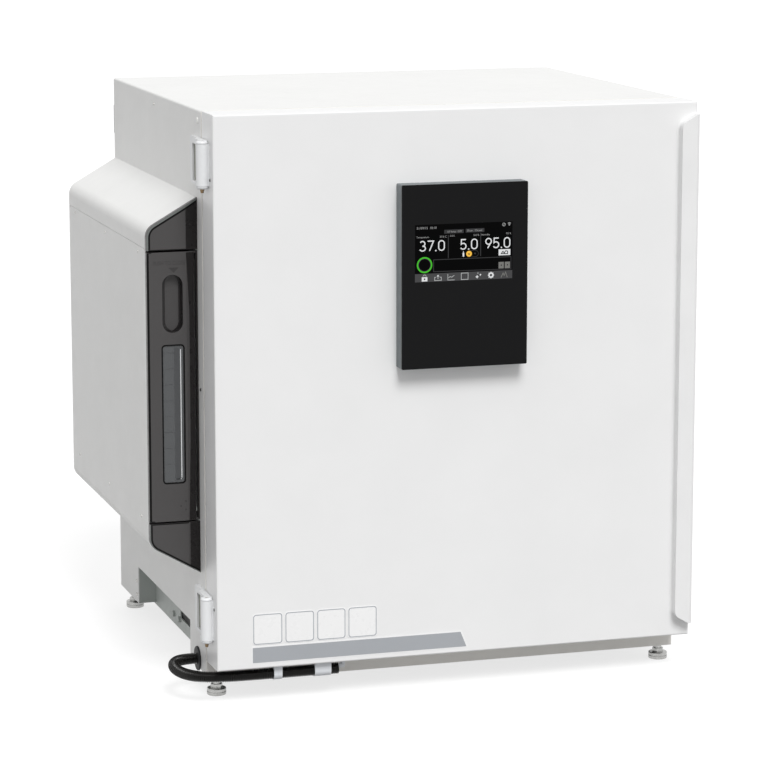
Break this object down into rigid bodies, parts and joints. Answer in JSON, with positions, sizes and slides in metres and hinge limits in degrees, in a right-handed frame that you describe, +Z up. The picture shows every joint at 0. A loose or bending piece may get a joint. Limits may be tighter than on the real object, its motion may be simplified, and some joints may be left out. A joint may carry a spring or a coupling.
{
  "type": "carbon dioxide incubator",
  "caption": "Cell culture incubator with a touch panel door, inner glass door, shelves, duct fan, side water reservoir and levelling feet.",
  "frame": {"origin": "middle of the footprint, on the surface that the feet stand on", "axes": "+X to the right seen from the front, +Y from the door to the rear, +Z up"},
  "size_m": [0.85, 0.7304, 0.905],
  "materials": {
    "cabinet_white": "satin",
    "door_white": "satin",
    "frame_white": "satin",
    "base_steel": "satin",
    "rear_steel": "satin",
    "grey_plastic": "matte",
    "foam": "matte",
    "stainless": "satin",
    "steel_pin": "polished",
    "motor_black": "satin",
    "rotor_plastic": "matte",
    "lamp_glass": "gloss",
    "holder_white": "matte",
    "sensor_steel": "satin",
    "silicone": "matte",
    "inlet_black": "matte",
    "brass": "polished",
    "liner_white": "gloss",
    "gasket_grey": "matte",
    "handle_white": "satin",
    "hinge_white": "satin",
    "panel_grey": "satin",
    "fascia_black": "gloss",
    "screen": "gloss",
    "rubber_black": "matte",
    "clear_glass": "gloss",
    "smoke_plastic": "gloss",
    "window_clear": "gloss",
    "tank_translucent": "satin",
    "cap_blue": "matte",
    "foot_steel": "polished",
    "conduit_black": "satin",
    "clamp_white": "matte"
  },
  "bodies": {
    "cabinet": {"cabinet_wrap": "cabinet_white", "front_frame": "frame_white", "base_frame": "base_steel", "back_panel": "rear_steel", "rear_spacers": "grey_plastic", "insulation": "foam", "chamber": "stainless", "shelf_racks": "stainless", "humidity_pan": "stainless", "duct_cover": "stainless", "fan_motor": "motor_black", "uv_lamp": "lamp_glass", "lamp_holders": "holder_white", "co2_sensor": "sensor_steel", "temperature_sensor": "sensor_steel", "port_sleeve": "holder_white", "power_inlet": "inlet_black", "gas_nipple": "brass", "hinge_straps": "hinge_white", "hinge_pins": "steel_pin", "inner_hinges": "stainless", "latch_keeper": "stainless", "side_roof": "cabinet_white", "side_panel": "cabinet_white", "side_chassis": "base_steel", "front_cover_top": "smoke_plastic", "front_cover_bottom": "smoke_plastic", "conduit_grommet": "rubber_black", "conduit_loop": "conduit_black", "shelf_1": "stainless", "shelf_2": "stainless", "shelf_3": "stainless", "shelf_4": "stainless"},
    "outer_door": {"door_skin": "door_white", "door_foam": "foam", "door_liner": "liner_white", "door_gasket": "gasket_grey", "door_handle": "handle_white", "hinge_barrels": "hinge_white", "panel_housing": "panel_grey", "panel_fascia": "fascia_black", "panel_screen": "screen", "conduit_run": "conduit_black", "conduit_clamps": "clamp_white"},
    "inner_door": {"inner_frame": "holder_white", "inner_glass": "clear_glass", "inner_gasket": "silicone"},
    "reservoir": {"reservoir_front": "smoke_plastic", "reservoir_window": "window_clear", "reservoir_tank": "tank_translucent", "tank_cap": "cap_blue"},
    "latch": {"latch_knob": "inlet_black"},
    "usb_flap": {"usb_cover": "rubber_black"},
    "fan": {"fan_rotor": "rotor_plastic"},
    "stopper": {"port_stopper": "silicone"},
    "switch": {"power_switch": "inlet_black"},
    "foot_front_left": {"foot_front_left": "foot_steel"},
    "foot_front_right": {"foot_front_right": "foot_steel"},
    "foot_back_left": {"foot_back_left": "foot_steel"},
    "foot_back_right": {"foot_back_right": "foot_steel"}
  },
  "joints": [
    {"name": "outer_door_hinge", "type": "hinge", "parent": "cabinet", "child": "outer_door", "pos_m": [-0.3546, -0.30875, 0.48], "axis": [0, 0, -1], "range_deg": [0, 115], "deforming": ["conduit_loop"]},
    {"name": "inner_door_hinge", "type": "hinge", "parent": "cabinet", "child": "inner_door", "pos_m": [-0.29, -0.27525, 0.475], "axis": [0, 0, -1], "range_deg": [0, 98]},
    {"name": "latch_turn", "type": "hinge", "parent": "inner_door", "child": "latch", "pos_m": [0.363, -0.27525, 0.475], "axis": [0, 1, 0], "range_deg": [0, 90]},
    {"name": "usb_flap_hinge", "type": "hinge", "parent": "outer_door", "child": "usb_flap", "pos_m": [0.1403, -0.35075, 0.5566], "axis": [0, 1, 0], "range_deg": [0, 110]},
    {"name": "reservoir_slide", "type": "slide", "parent": "cabinet", "child": "reservoir", "axis": [0, 1, 0], "range_m": [-0.26, 0]},
    {"name": "fan_spin", "type": "hinge", "parent": "cabinet", "child": "fan", "pos_m": [0.04, 0.25825, 0.745], "axis": [0, 1, 0], "continuous": true},
    {"name": "stopper_pull", "type": "slide", "parent": "cabinet", "child": "stopper", "axis": [0, 1, 0], "range_m": [0, 0.045]},
    {"name": "switch_rock", "type": "hinge", "parent": "cabinet", "child": "switch", "pos_m": [0.331, 0.34025, 0.13], "axis": [-1, 0, 0], "range_deg": [0, 18]},
    {"name": "foot_front_left_turn", "type": "hinge", "parent": "cabinet", "child": "foot_front_left", "pos_m": [-0.3265, -0.25475, 0.011], "axis": [0, 0, 1], "continuous": true},
    {"name": "foot_front_right_turn", "type": "hinge", "parent": "cabinet", "child": "foot_front_right", "pos_m": [0.4065, -0.25475, 0.011], "axis": [0, 0, 1], "continuous": true},
    {"name": "foot_back_left_turn", "type": "hinge", "parent": "cabinet", "child": "foot_back_left", "pos_m": [-0.3265, 0.31825, 0.011], "axis": [0, 0, 1], "continuous": true},
    {"name": "foot_back_right_turn", "type": "hinge", "parent": "cabinet", "child": "foot_back_right", "pos_m": [0.4065, 0.31825, 0.011], "axis": [0, 0, 1], "continuous": true}
  ],
  "couplings": [
    {"joint": "inner_door_hinge", "follows": "outer_door_hinge", "ratio": 0.85}
  ]
}
